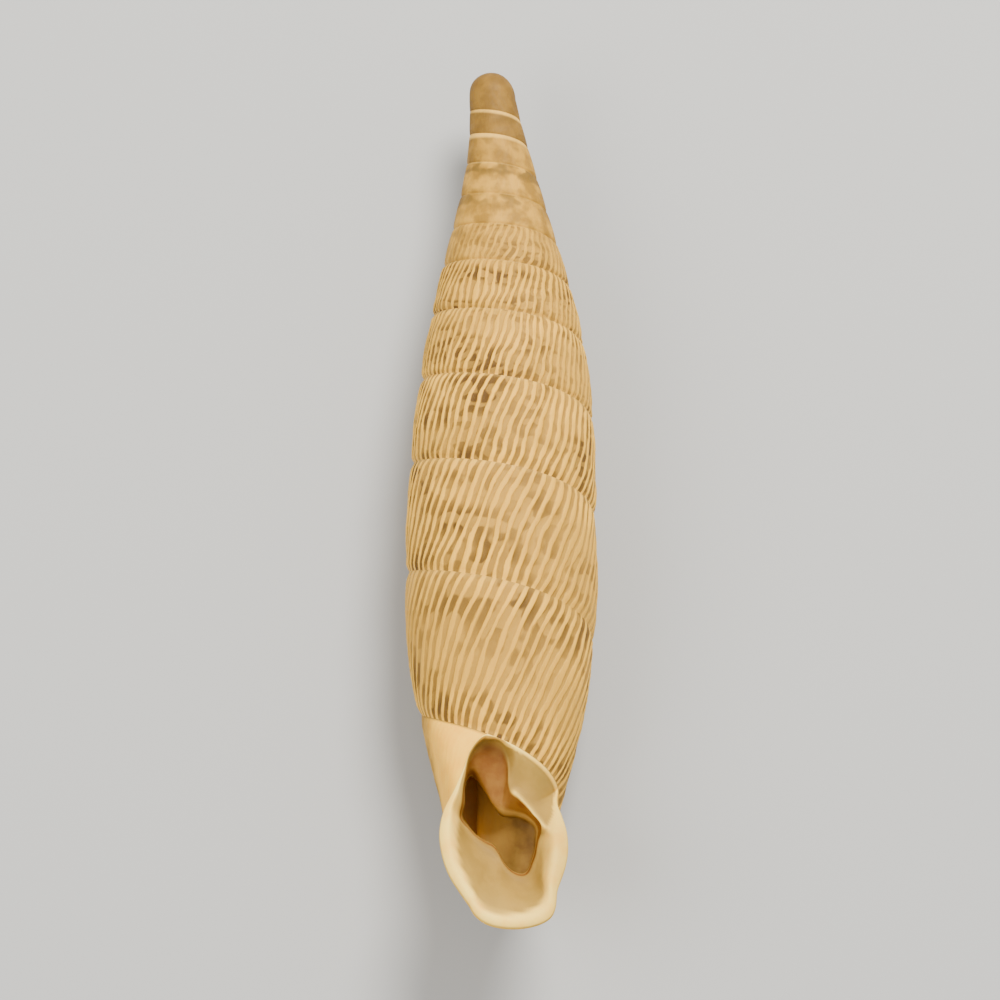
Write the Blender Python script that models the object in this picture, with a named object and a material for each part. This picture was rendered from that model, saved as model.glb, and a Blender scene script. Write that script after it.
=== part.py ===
"""Shell of a door snail: a slender left-coiled shell of eleven whorls, grown as one piece.

The shell lies on its back. Its long axis runs along Y with the tip towards +Y, and its mouth looks
up, along +Z. A small flat spot under the widest whorls touches the surface that it rests on.
All lengths in this file are millimetres until the last step, which turns them into metres.
"depth" is the distance down the shell's axis from the tip.
"""

import math

import bmesh
import bpy
from mathutils import Vector

for leftover in list(bpy.data.objects):
    bpy.data.objects.remove(leftover, do_unlink=True)

MM = 0.001
TAU = 2.0 * math.pi

# The spiral: how far down the axis the seam between whorls has come after so many turns
SEAM_START = 0.03
SEAM_STEADY = 0.321
SEAM_GROWTH = 0.390
SEAM_RATE = 0.3046
SEAM_EARLY = 0.234
SEAM_EARLY_TURN = 4.2
SEAM_EARLY_SPREAD = 1.7
LAST_TURN = 11.25

# The outline: a blunt tip, a swelling spire, a belly and a tapering base
TIP_RADIUS = 0.487
TIP_DOME = 0.44
SPIRE_SWELL = 1.577
SPIRE_REACH = 5.21
BELLY_DEPTH = 11.98
BASE_REACH = 8.28
BASE_BEND = 1.75
BASE_ROUND_FROM = 16.6
BASE_FULLNESS = 0.65
BASE_END = 19.05
EDGE_SLOWING = 0.3

# The axis leans a little: the tip to the left, the upper spire to the right
LEAN_TIP = -0.21
LEAN_TIP_REACH = 1.6
LEAN_SPIRE = 0.09
LEAN_SPIRE_DEPTH = 6.5
LEAN_SPIRE_SPREAD = 3.0

# The wall
SEAM_GROOVE = 0.045
WALL = 0.15
PILLAR_RADIUS = 0.17
SEPTUM = 0.10
SEPTUM_DROP = 0.22

# The mouth: a pear-shaped ring that stands in front of the base
MOUTH_X = 0.066
MOUTH_DEPTH = 17.80
MOUTH_HALF_WIDTH = 1.40
MOUTH_HALF_HEIGHT = 2.21
MOUTH_FRONT = 1.88
MOUTH_TILT = 0.035
OPENING_HALF_WIDTH = 1.16
OPENING_HALF_HEIGHT = 1.9
OPENING_RISE = 0.0
NECK_WALL = 0.19
NECK_HEIGHT = 1.5
LIP_BUMPS = ((143.0, -0.22, 17.0), (247.0, -0.08, 14.0), (297.0, 0.11, 12.0), (48.0, 0.06, 12.0))

# The throat: the narrow way in, behind the flaring lip and the folds
THROAT_X = -0.03
THROAT_DEPTH = 17.1
THROAT_HALF_WIDTH = 0.82
THROAT_HALF_HEIGHT = 1.5
THROAT_HEIGHT = 1.1
THROAT_BUMPS = ((38.0, -0.22, 26.0), (143.0, -0.2, 20.0), (215.0, -0.12, 24.0))

# The flat spot
FLAT_CUT = 0.05

# How finely each surface is divided
STATIONS = 30
HOLLOW_STATIONS = 20
HOLLOW_SIDES = 16
HOLLOW_FIRST_TURN = 3.5
RING_SIDES = 40


def smooth(value):
    """0 below 0, 1 above 1, and an even S between."""
    value = min(max(value, 0.0), 1.0)
    return value * value * (3.0 - 2.0 * value)


def mix(first, second, share):
    return first + (second - first) * share


def seam(turn):
    """Depth of the seam above the whorl that is being laid at this turn."""
    early = math.exp(-(((turn - SEAM_EARLY_TURN) / SEAM_EARLY_SPREAD) ** 2))
    growth = SEAM_GROWTH * math.exp(SEAM_RATE * turn)
    return SEAM_START + SEAM_STEADY * turn + growth + SEAM_EARLY * early


def outline(depth):
    """Radius of the shell's outside at this depth, without its seams."""
    radius = TIP_RADIUS + SPIRE_SWELL * (1.0 - math.exp(-((depth / SPIRE_REACH) ** 2)))
    if depth < TIP_DOME:
        radius *= math.sqrt(max(1.0 - (1.0 - depth / TIP_DOME) ** 2, 0.0))
    if depth > BELLY_DEPTH:
        past = depth - BELLY_DEPTH
        if depth > BASE_ROUND_FROM:
            past = mix(BASE_ROUND_FROM, depth, BASE_FULLNESS) - BELLY_DEPTH
        radius *= 1.0 - (past / BASE_REACH) ** BASE_BEND
    if depth > BASE_ROUND_FROM:
        share = (depth - BASE_ROUND_FROM) / (BASE_END - BASE_ROUND_FROM)
        radius *= math.sqrt(max(1.0 - share ** 3, 0.0))
    return radius


def lower_edge(turn):
    """Depth of a band's lower edge. The last turn has no next seam, so its edge comes down slower."""
    next_seam = seam(turn + 1.0)
    last_seam = seam(LAST_TURN)
    if next_seam > last_seam:
        next_seam = mix(last_seam, next_seam, EDGE_SLOWING)
    return next_seam


def lean(depth):
    tip = LEAN_TIP * math.exp(-((depth / LEAN_TIP_REACH) ** 2))
    spire = LEAN_SPIRE * math.exp(-(((depth - LEAN_SPIRE_DEPTH) / LEAN_SPIRE_SPREAD) ** 2))
    return tip + spire


def around(turn, radius, depth):
    """A point on the coil. It grows from the left over the front to the right, so it is left-coiled."""
    angle = TAU * turn
    return Vector((lean(depth) - radius * math.cos(angle), -depth, radius * math.sin(angle)))


def bridge(faces, upper, lower):
    """Triangles between two chains of points that may differ in count, oriented upper to lower."""
    i = 0
    j = 0
    last_i = len(upper) - 1
    last_j = len(lower) - 1
    while i < last_i or j < last_j:
        step_upper = j == last_j or (i < last_i and (i + 1) * last_j <= (j + 1) * last_i)
        if step_upper:
            triangle = (upper[i], upper[i + 1], lower[j])
            i += 1
        else:
            triangle = (upper[i], lower[j + 1], lower[j])
            j += 1
        if len(set(triangle)) == 3:
            faces.append(triangle)


def solid(name, points, faces):
    """A closed mesh object whose faces look outward."""
    mesh = bpy.data.meshes.new(name)
    mesh.from_pydata(points, [], faces)
    work = bmesh.new()
    work.from_mesh(mesh)
    bmesh.ops.recalc_face_normals(work, faces=work.faces)
    if work.calc_volume(signed=True) < 0.0:
        bmesh.ops.reverse_faces(work, faces=work.faces)
    work.to_mesh(mesh)
    work.free()
    made = bpy.data.objects.new(name, mesh)
    bpy.context.scene.collection.objects.link(made)
    return made


def combined(base, tool, operation):
    """The base joined with the tool, or cut by it, as a plain mesh. The tool is used up."""
    step = base.modifiers.new("step", "BOOLEAN")
    step.operation = operation
    step.solver = "EXACT"
    step.object = tool
    evaluated = base.evaluated_get(bpy.context.evaluated_depsgraph_get())
    result = bpy.data.meshes.new_from_object(evaluated)
    base.modifiers.remove(step)
    base.data = result
    bpy.data.objects.remove(tool, do_unlink=True)
    return base


# ---- The coiled outside, from the tip to the base ----
# Each whorl is a band between its own seam and the next. Neighbouring bands share the seam's points.
WHORL_STEPS = (0.0, 0.1, 0.36, 0.64, 0.9, 1.0)
CAP_STEPS = 4
BASE_STEPS = 6
last_station = round(LAST_TURN * STATIONS)
last_open = last_station - STATIONS

points = []
columns = []
for station in range(last_station + 1):
    turn = station / STATIONS
    top = seam(turn)
    bottom = lower_edge(turn)
    below_is_whorl = 1.0 - smooth((turn - (LAST_TURN - 1.0)) / 0.12 + 0.5)
    column = []
    for share in WHORL_STEPS[:-1]:
        depth = mix(top, bottom, share)
        groove = SEAM_GROOVE * (abs(2.0 * share - 1.0) ** 6)
        if share > 0.5:
            groove *= below_is_whorl
        groove *= smooth(turn / 1.5) * mix(0.3, 1.0, smooth(depth / 6.0))
        column.append(len(points))
        points.append(around(turn, max(outline(depth) - groove, 0.02), depth))
    columns.append(column)

base_chains = {}
for station in range(last_open, last_station + 1):
    turn = station / STATIONS
    chain = []
    if station + STATIONS > last_station:
        top = lower_edge(turn)
        for step in range(BASE_STEPS):
            depth = mix(top, BASE_END, math.sin(0.5 * math.pi * step / BASE_STEPS))
            chain.append(len(points))
            points.append(around(turn, outline(depth), depth))
    base_chains[station] = chain
base_pole = len(points)
points.append(Vector((lean(BASE_END), -BASE_END, 0.0)))
tip_pole = len(points)
points.append(Vector((lean(0.0), 0.0, 0.0)))


def whorl_chain(station):
    """All the points of one band from its seam down to the next band's seam."""
    if station + STATIONS <= last_station:
        return columns[station] + [columns[station + STATIONS][0]]
    return columns[station] + [base_chains[station][0]]


faces = []
for station in range(last_station):
    bridge(faces, whorl_chain(station), whorl_chain(station + 1))

# The tip's cap, between the pole and the first turn's seam
cap_chains = []
for station in range(STATIONS):
    turn = station / STATIONS
    chain = [tip_pole]
    for step in range(1, CAP_STEPS):
        depth = seam(turn) * (step / CAP_STEPS) ** 1.5
        chain.append(len(points))
        points.append(around(turn, outline(depth), depth))
    chain.append(columns[station][0])
    cap_chains.append(chain)
cap_chains[0] = [tip_pole] + whorl_chain(0)
for station in range(1, STATIONS - 1):
    bridge(faces, cap_chains[station], cap_chains[station + 1])
bridge(faces, [tip_pole, columns[0][0]], cap_chains[1])
bridge(faces, cap_chains[STATIONS - 1], cap_chains[0])

# The base, between the last turn's lower edge and the pole
closing = whorl_chain(last_station) + base_chains[last_station][1:] + [base_pole]
first_base = closing
for station in range(last_open + 1, last_station + 1):
    chain = base_chains[station] + [base_pole]
    bridge(faces, first_base, chain)
    first_base = chain

shell = solid("snail_shell", points, faces)

# ---- The hollow that winds up inside ----
sides = [TAU * k / HOLLOW_SIDES for k in range(HOLLOW_SIDES)]


def rounded(value):
    """Squares a circle's coordinate a little, for a section with rounded corners."""
    return math.copysign(abs(value) ** 0.62, value)


def hollow_section(turn):
    """(radius, depth) pairs round the hollow at this turn, between the pillar and the wall."""
    room = smooth((turn - HOLLOW_FIRST_TURN + 0.6) / 2.0)
    top = seam(turn) + SEPTUM
    bottom = min(seam(turn + 1.0), BASE_END + 0.15) - SEPTUM
    section = []
    for side in sides:
        out = rounded(math.cos(side))
        down = rounded(math.sin(side))
        share = 0.5 + 0.5 * down * mix(0.5, 1.0, room)
        inward = 0.5 - 0.5 * out
        depth = mix(top, bottom, share) + SEPTUM_DROP * (inward - 0.3) * room * (1.0 - share)
        wall = mix(0.10, WALL, smooth(depth / 9.0))
        outer = outline(depth) - SEAM_GROOVE * 0.5 - wall
        inner = PILLAR_RADIUS * mix(0.7, 1.3, smooth(depth / 16.0))
        radius = mix(inner, outer, 0.5 + 0.5 * out * mix(0.6, 1.0, room))
        section.append((radius, depth))
    return section


def pear(angle, half_width, half_height, bumps):
    """A point of an oval ring that bumps raise or lower: each has its angle, its height and its spread."""
    across = math.cos(angle)
    up = math.sin(angle)
    radius = 1.0 / math.sqrt((across / half_width) ** 2 + (up / half_height) ** 2)
    for centre, height, spread in bumps:
        apart = (math.degrees(angle) - centre + 180.0) % 360.0 - 180.0
        radius *= 1.0 + height * math.exp(-((apart / spread) ** 2))
    return across * radius, up * radius


def mouth_loop(angles, half_width, half_height, rise):
    """(x, depth) pairs round the mouth: an oval with a notch high on the left and a low right corner."""
    loop = []
    for angle in angles:
        across, up = pear(angle, half_width, half_height, LIP_BUMPS)
        loop.append((MOUTH_X + across, MOUTH_DEPTH - rise - up))
    return loop


def throat_loop(angles):
    """(x, depth) pairs round the throat: an oval that the folds narrow from the upper right."""
    loop = []
    for angle in angles:
        across, up = pear(angle, THROAT_HALF_WIDTH, THROAT_HALF_HEIGHT, THROAT_BUMPS)
        loop.append((THROAT_X + across, THROAT_DEPTH - up))
    return loop


def mouth_front(depth):
    return MOUTH_FRONT + MOUTH_TILT * (depth - MOUTH_DEPTH)


# The hollow's sides are counted from the left, which is outward, then down and inward.
opening_angles = [math.pi + side for side in sides]
opening = mouth_loop(opening_angles, OPENING_HALF_WIDTH, OPENING_HALF_HEIGHT, OPENING_RISE)
throat = throat_loop(opening_angles)
neck_turn = 11.0
neck_start = [(lean(depth) - radius, depth) for radius, depth in hollow_section(neck_turn)]


def blend(start, end, share):
    """A loop between two loops."""
    return [(mix(a[0], b[0], share), mix(a[1], b[1], share)) for a, b in zip(start, end)]


points = []
loops = []
first = round(HOLLOW_FIRST_TURN * HOLLOW_STATIONS)
for station in range(first, round(neck_turn * HOLLOW_STATIONS) + 1):
    turn = station / HOLLOW_STATIONS
    loops.append([around(turn, radius, depth) for radius, depth in hollow_section(turn)])
for height in (0.3, 0.6, 0.85, THROAT_HEIGHT, 1.35, 1.6, 1.8, 2.4):
    if height <= THROAT_HEIGHT:
        loop = blend(neck_start, throat, smooth(height / THROAT_HEIGHT))
    else:
        loop = blend(throat, opening, smooth((height - THROAT_HEIGHT) / 0.75))
    loops.append([Vector((x, -depth, height)) for x, depth in loop])

faces = []
for number, loop in enumerate(loops):
    points.extend(loop)
    if number:
        for k in range(HOLLOW_SIDES):
            n = (k + 1) % HOLLOW_SIDES
            low = (number - 1) * HOLLOW_SIDES
            high = number * HOLLOW_SIDES
            faces.append((low + k, low + n, high + n, high + k))
faces.append(tuple(range(HOLLOW_SIDES - 1, -1, -1)))
faces.append(tuple(range(len(points) - HOLLOW_SIDES, len(points))))
hollow = solid("hollow", points, faces)

# ---- The neck and the thick lip that turns outward ----
ring = [TAU * k / RING_SIDES for k in range(RING_SIDES)]
ring_opening = mouth_loop(ring, OPENING_HALF_WIDTH, OPENING_HALF_HEIGHT, OPENING_RISE)
ring_lip = mouth_loop(ring, MOUTH_HALF_WIDTH, MOUTH_HALF_HEIGHT, 0.0)


def ring_start():
    """The whorl's hollow at the neck's start, read at the ring's angles round its own middle."""
    loop = neck_start
    middle_x = sum(x for x, _ in loop) / len(loop)
    middle_depth = sum(depth for _, depth in loop) / len(loop)
    half_x = (max(x for x, _ in loop) - min(x for x, _ in loop)) / 2.0
    half_depth = (max(d for _, d in loop) - min(d for _, d in loop)) / 2.0
    found = []
    for angle in ring:
        x = middle_x + half_x * rounded(math.cos(angle)) * 0.8
        depth = middle_depth - half_depth * rounded(math.sin(angle)) * 0.8
        found.append((x, depth))
    return found


def thicker(loop, by):
    """The loop grown outward from its middle."""
    middle_x = sum(x for x, _ in loop) / len(loop)
    middle_depth = sum(depth for _, depth in loop) / len(loop)
    grown = []
    for x, depth in loop:
        away = math.hypot(x - middle_x, depth - middle_depth)
        grow = 1.0 + by / away
        grown.append((mix(middle_x, x, grow), mix(middle_depth, depth, grow)))
    return grown


points = []
loops = []
start = ring_start()
for height in (0.1, 0.5, 0.9, 1.25, NECK_HEIGHT):
    share = smooth((height + 0.3) / (NECK_HEIGHT + 0.3))
    loop = thicker(blend(start, ring_opening, share), NECK_WALL)
    loops.append([Vector((x, -depth, height)) for x, depth in loop])
# share of the way from the opening to the lip's rim, and how far behind the front it lies
for share, behind in ((0.72, 0.28), (0.93, 0.2), (1.0, 0.12), (0.97, 0.04), (0.78, 0.0), (0.4, 0.02), (0.0, 0.1)):
    loop = []
    for inner, outer in zip(ring_opening, ring_lip):
        x = mix(inner[0], outer[0], share)
        depth = mix(inner[1], outer[1], share)
        loop.append(Vector((x, -depth, mouth_front(depth) - behind)))
    loops.append(loop)
faces = []
for number, loop in enumerate(loops):
    points.extend(loop)
    if number:
        for k in range(RING_SIDES):
            n = (k + 1) % RING_SIDES
            low = (number - 1) * RING_SIDES
            high = number * RING_SIDES
            faces.append((low + k, low + n, high + n, high + k))
middle_back = len(points)
points.append(sum(loops[0], Vector()) / RING_SIDES)
middle_front = len(points)
points.append(sum(loops[-1], Vector()) / RING_SIDES)
for k in range(RING_SIDES):
    n = (k + 1) % RING_SIDES
    faces.append((n, k, middle_back))
    faces.append((middle_back - RING_SIDES + k, middle_back - RING_SIDES + n, middle_front))
neck = solid("neck", points, faces)

shell = combined(shell, neck, "UNION")
shell = combined(shell, hollow, "DIFFERENCE")

# ---- The folds: two ridges that stand on the wall between the mouth and the whorl above ----
# A fold's edge runs from deep in the throat to the lip. Each end is (x, depth, height), and the
# bow moves its middle. The root lies up and to the right of the edge, inside the wall.
FOLDS = (
    {"deep": (0.10, 16.95, 1.10), "front": (0.90, 17.70, 1.72), "bow": (0.05, -0.06, 0.06), "tall": 0.42},
    {"deep": (-0.42, 16.45, 0.60), "front": (0.80, 17.68, 1.30), "bow": (-0.05, 0.12, 0.0), "tall": 0.40},
)
FOLD_STEPS = 7
FOLD_THICKNESS = 0.17
FOLD_ROOT = Vector((0.62, 0.55, -0.56))


def fold_solid(fold):
    """One ridge as a bar with a narrow edge and a wide root."""
    deep = Vector((fold["deep"][0], -fold["deep"][1], fold["deep"][2]))
    front = Vector((fold["front"][0], -fold["front"][1], fold["front"][2]))
    bow = Vector((fold["bow"][0], -fold["bow"][1], fold["bow"][2]))
    along = (front - deep).normalized()
    side = along.cross(FOLD_ROOT).normalized()
    ridge_points = []
    for step in range(FOLD_STEPS + 1):
        share = step / FOLD_STEPS
        edge = deep.lerp(front, share) + bow * (4.0 * share * (1.0 - share))
        root = edge + FOLD_ROOT * fold["tall"]
        ridge_points.append(edge + side * FOLD_THICKNESS * 0.2)
        ridge_points.append(edge - side * FOLD_THICKNESS * 0.2)
        ridge_points.append(root - side * FOLD_THICKNESS * 0.7)
        ridge_points.append(root + side * FOLD_THICKNESS * 0.7)
    ridge_faces = [(3, 2, 1, 0)]
    for step in range(FOLD_STEPS):
        for k in range(4):
            n = (k + 1) % 4
            ridge_faces.append((4 * step + k, 4 * step + n, 4 * step + 4 + n, 4 * step + 4 + k))
    end = 4 * FOLD_STEPS
    ridge_faces.append((end, end + 1, end + 2, end + 3))
    return solid("fold", ridge_points, ridge_faces)


for fold in FOLDS:
    shell = combined(shell, fold_solid(fold), "UNION")

# ---- The flat spot, the mesh's clean-up, and the move into metres ----
work = bmesh.new()
work.from_mesh(shell.data)
lowest = min(vertex.co.z for vertex in work.verts)
everything = work.verts[:] + work.edges[:] + work.faces[:]
cut = bmesh.ops.bisect_plane(
    work,
    geom=everything,
    dist=0.0005,
    plane_co=(0.0, 0.0, lowest + FLAT_CUT),
    plane_no=(0.0, 0.0, -1.0),
    clear_outer=True,
)
rim = [item for item in cut["geom_cut"] if isinstance(item, bmesh.types.BMEdge)]
bmesh.ops.holes_fill(work, edges=rim, sides=0)
bmesh.ops.remove_doubles(work, verts=work.verts, dist=0.0002)
bmesh.ops.triangulate(work, faces=work.faces)
bmesh.ops.recalc_face_normals(work, faces=work.faces)
corners = [vertex.co.copy() for vertex in work.verts]
low = Vector([min(corner[axis] for corner in corners) for axis in range(3)])
high = Vector([max(corner[axis] for corner in corners) for axis in range(3)])
origin = Vector(((low.x + high.x) / 2.0, (low.y + high.y) / 2.0, low.z))
for vertex in work.verts:
    vertex.co = (vertex.co - origin) * MM
work.to_mesh(shell.data)
work.free()

surface = bpy.data.materials.new("shell")
surface.use_nodes = True
colour = surface.node_tree.nodes["Principled BSDF"]
colour.inputs["Base Color"].default_value = (0.62, 0.42, 0.22, 1.0)
colour.inputs["Roughness"].default_value = 0.5
shell.data.materials.clear()
shell.data.materials.append(surface)
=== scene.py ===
# %% [markdown]
# # The shell of a door snail
# A door snail builds a slender shell of about eleven whorls. It is coiled to the left: seen with the
# tip up, its mouth is in front and the whorls climb away to the right. Here the shell lies on its back
# on a pale table, with its tip away from us and its mouth looking up.
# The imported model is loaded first. It fixes where the shell lies and how large it is.

# %% Load the model and note its box
import math

import bmesh
import bpy
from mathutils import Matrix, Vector


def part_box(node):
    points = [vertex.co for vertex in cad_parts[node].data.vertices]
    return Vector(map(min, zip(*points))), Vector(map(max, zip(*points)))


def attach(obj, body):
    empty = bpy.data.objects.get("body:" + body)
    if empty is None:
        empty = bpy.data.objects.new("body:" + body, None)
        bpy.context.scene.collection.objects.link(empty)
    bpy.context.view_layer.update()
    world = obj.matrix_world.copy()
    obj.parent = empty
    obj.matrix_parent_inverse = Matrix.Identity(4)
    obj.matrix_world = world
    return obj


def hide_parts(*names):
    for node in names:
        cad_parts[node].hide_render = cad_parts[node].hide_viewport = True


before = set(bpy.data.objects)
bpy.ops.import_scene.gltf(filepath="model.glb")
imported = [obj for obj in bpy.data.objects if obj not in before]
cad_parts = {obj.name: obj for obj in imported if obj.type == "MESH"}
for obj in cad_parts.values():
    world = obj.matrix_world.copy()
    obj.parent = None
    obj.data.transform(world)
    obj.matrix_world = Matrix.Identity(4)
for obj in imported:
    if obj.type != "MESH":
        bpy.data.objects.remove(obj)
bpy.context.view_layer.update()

MM = 0.001
TAU = 2.0 * math.pi
BELLY_RADIUS = 2.054
cad_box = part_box("snail_shell")
TIP_Y = cad_box[1][1]
AXIS_Z = cad_box[1][2] - BELLY_RADIUS * MM
print("shell length in mm:", round((cad_box[1][1] - cad_box[0][1]) / MM, 2))

# %% [markdown]
# ## Writing a rule with nodes
# A shell's coil follows a rule, so Geometry Nodes can make it. A rule of many steps is hard to read as
# a drawing of nodes. This small class lets us write it as a sum: each plus, times or power adds one
# Math node to the tree, and the result is the socket that comes out of it. The helpers below it take
# plain numbers too, so that the mouth, which is made point by point, can follow the very same rules.


# %% Numbers made by Math nodes
class Rule:
    tree = None

    def __init__(self, socket):
        self.socket = socket

    @classmethod
    def step(cls, operation, *values):
        node = cls.tree.nodes.new("ShaderNodeMath")
        node.operation = operation
        for slot, value in zip(node.inputs, values):
            if isinstance(value, Rule):
                cls.tree.links.new(value.socket, slot)
            else:
                slot.default_value = value
        return Rule(node.outputs[0])

    def __add__(self, other):
        return Rule.step("ADD", self, other)

    def __radd__(self, other):
        return Rule.step("ADD", other, self)

    def __sub__(self, other):
        return Rule.step("SUBTRACT", self, other)

    def __rsub__(self, other):
        return Rule.step("SUBTRACT", other, self)

    def __mul__(self, other):
        return Rule.step("MULTIPLY", self, other)

    def __rmul__(self, other):
        return Rule.step("MULTIPLY", other, self)

    def __truediv__(self, other):
        return Rule.step("DIVIDE", self, other)

    def __pow__(self, other):
        return Rule.step("POWER", self, other)


def smallest(first, second):
    if isinstance(first, Rule) or isinstance(second, Rule):
        return Rule.step("MINIMUM", first, second)
    return min(first, second)


def largest(first, second):
    if isinstance(first, Rule) or isinstance(second, Rule):
        return Rule.step("MAXIMUM", first, second)
    return max(first, second)


def exponential(value):
    return Rule.step("EXPONENT", value) if isinstance(value, Rule) else math.exp(value)


def square_root(value):
    return Rule.step("SQRT", value) if isinstance(value, Rule) else math.sqrt(value)


def hill(value, centre, spread):
    """1 at the centre, falling away evenly on both sides."""
    away = (value - centre) * (1.0 / spread)
    return exponential(0.0 - away * away)


def eased(value):
    """0 below 0, 1 above 1, and a smooth S between."""
    held = largest(smallest(value, 1.0), 0.0)
    return held * held * (3.0 - 2.0 * held)


def joined(tree, output, slot):
    tree.links.new(output.socket if isinstance(output, Rule) else output, slot)


# %% [markdown]
# ## Two rules that give the shell its shape
# The seam is the line where one whorl meets the next. Its depth below the tip grows slowly at first,
# then faster with every turn. The outline is the shell's radius at each depth: a blunt tip, a spire
# that swells, a belly that is nearly a cylinder, and a base that tapers. All lengths are millimetres.


# %% Turns at which the last whorl changes
TURNS = 10.97
MOUTH_TOP_TURN = 10.22
MOUTH_SIDE_TURN = 10.45
BASE_CLOSED_TURN = 10.64
print("the coil has", TURNS, "turns")

# %% The seam's depth
SEAM_START = 0.03
SEAM_STEADY = 0.321
SEAM_GROWTH = 0.390
GROWTH_RATE = 0.3046
EARLY_STRETCH = 0.234
EARLY_TURN = 4.2
EARLY_SPREAD = 1.7


def seam_depth(turn):
    growth = SEAM_GROWTH * exponential(GROWTH_RATE * turn)
    stretch = EARLY_STRETCH * hill(turn, EARLY_TURN, EARLY_SPREAD)
    return SEAM_START + SEAM_STEADY * turn + growth + stretch


print("seam depth in mm at turns 2, 6 and 10:", [round(seam_depth(float(n)), 2) for n in (2, 6, 10)])

# %% The outline's radius, and how far the axis leans
TIP_RADIUS = 0.487
SPIRE_SWELL = 1.577
SPIRE_DEPTH = 5.21
DOME_DEPTH = 0.44
BELLY_END = 11.98
TAPER_DEPTH = 8.28
TAPER_POWER = 1.75
TAPER_SLOWING = 0.35
BASE_START = 16.6
BASE_END = 19.05
BASE_POWER = 3.0
BASE_REST = 0.99999
SPIRE_LEAN = 0.09
SPIRE_LEAN_DEPTH = 6.5
SPIRE_LEAN_SPREAD = 3.0
TIP_LEAN = 0.21
TIP_LEAN_DEPTH = 1.6


def outline_radius(depth):
    spire = TIP_RADIUS + SPIRE_SWELL * (1.0 - exponential(0.0 - (depth / SPIRE_DEPTH) ** 2.0))
    dome = 1.0 - smallest(depth / DOME_DEPTH, 1.0)
    dome = square_root(largest(1.0 - dome * dome, 0.0))
    past_belly = largest(depth - BELLY_END - TAPER_SLOWING * largest(depth - BASE_START, 0.0), 0.0)
    taper = 1.0 - (past_belly / TAPER_DEPTH) ** TAPER_POWER
    rounding = largest(smallest((depth - BASE_START) / (BASE_END - BASE_START), 1.0), 0.0)
    rounding = square_root(largest(BASE_REST - rounding ** BASE_POWER, 0.0))
    return spire * dome * taper * rounding


def axis_lean(depth):
    lean = SPIRE_LEAN * hill(depth, SPIRE_LEAN_DEPTH, SPIRE_LEAN_SPREAD)
    return lean - TIP_LEAN * exponential(0.0 - (depth / TIP_LEAN_DEPTH) ** 2.0)


print("radius in mm at depths 2, 8 and 16:", [round(outline_radius(float(n)), 2) for n in (2, 8, 16)])

# %% [markdown]
# ## The coil of whorls
# The coil could be turned on a lathe and have a groove cut into it, but its ribs have to follow the
# growth of the animal. So the tree starts from a flat grid. Along the grid runs the growth, in turns.
# Across it runs the way from the upper seam to the lower seam of one whorl. The rules above then bend
# the grid round the axis. The grid's columns lean as the ribs do, so that each rib stays crisp.
# Hundreds of fine ribs cover the whorls. They stand out as pale threads, they lean more on the lower
# whorls, and they are worn and uneven. Their number and height are inputs of the tree.

# %% Names and sizes for the coil
COLUMNS = 300
LEAN_COLUMNS = 18
ROWS = 19
RIBS_PER_WHORL = 54.0
RIB_HEIGHT = 0.038
SEAM_GROOVE = 0.040
WHORL_BULGE = 0.035
SEED = 3.0
column_total = round((TURNS + LEAN_COLUMNS / COLUMNS) * COLUMNS) + 1
print("coil grid:", column_total, "columns of", ROWS, "points")


def named_input(tree, name, kind, value):
    slot = tree.interface.new_socket(name, in_out="INPUT", socket_type=kind)
    if value is not None:
        slot.default_value = value
    return slot.identifier


def noise_of(tree, along, across, scale, detail, seed):
    """Smooth random numbers from 0 to 1 that vary along and across the whorl."""
    place = tree.nodes.new("ShaderNodeCombineXYZ")
    joined(tree, along, place.inputs[0])
    joined(tree, across, place.inputs[1])
    if isinstance(seed, Rule):
        joined(tree, seed, place.inputs[2])
    else:
        place.inputs[2].default_value = seed
    cloud = tree.nodes.new("ShaderNodeTexNoise")
    cloud.inputs["Scale"].default_value = scale
    cloud.inputs["Detail"].default_value = detail
    tree.links.new(place.outputs[0], cloud.inputs["Vector"])
    return Rule(cloud.outputs["Fac"])


def stored(tree, geometry, name, value):
    """Keeps a number on the corners of the mesh under a name, for the material to read."""
    node = tree.nodes.new("GeometryNodeStoreNamedAttribute")
    node.data_type = "FLOAT"
    node.domain = "CORNER"
    node.inputs["Name"].default_value = name
    tree.links.new(geometry, node.inputs["Geometry"])
    joined(tree, value, node.inputs["Value"])
    return node.outputs["Geometry"]


# %% The tree and its inputs
coil_tree = bpy.data.node_groups.new("coil_of_whorls", "GeometryNodeTree")
Rule.tree = coil_tree
rib_count_id = named_input(coil_tree, "Ribs per whorl", "NodeSocketFloat", RIBS_PER_WHORL)
rib_height_id = named_input(coil_tree, "Rib height", "NodeSocketFloat", RIB_HEIGHT)
groove_id = named_input(coil_tree, "Seam groove", "NodeSocketFloat", SEAM_GROOVE)
bulge_id = named_input(coil_tree, "Whorl bulge", "NodeSocketFloat", WHORL_BULGE)
seed_id = named_input(coil_tree, "Seed", "NodeSocketFloat", SEED)
skin_id = named_input(coil_tree, "Material", "NodeSocketMaterial", None)
coil_tree.interface.new_socket("Geometry", in_out="OUTPUT", socket_type="NodeSocketGeometry")
given = coil_tree.nodes.new("NodeGroupInput")
rib_count = Rule(given.outputs["Ribs per whorl"])
rib_height = Rule(given.outputs["Rib height"])
groove_size = Rule(given.outputs["Seam groove"])
bulge_size = Rule(given.outputs["Whorl bulge"])
seed = Rule(given.outputs["Seed"])

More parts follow.
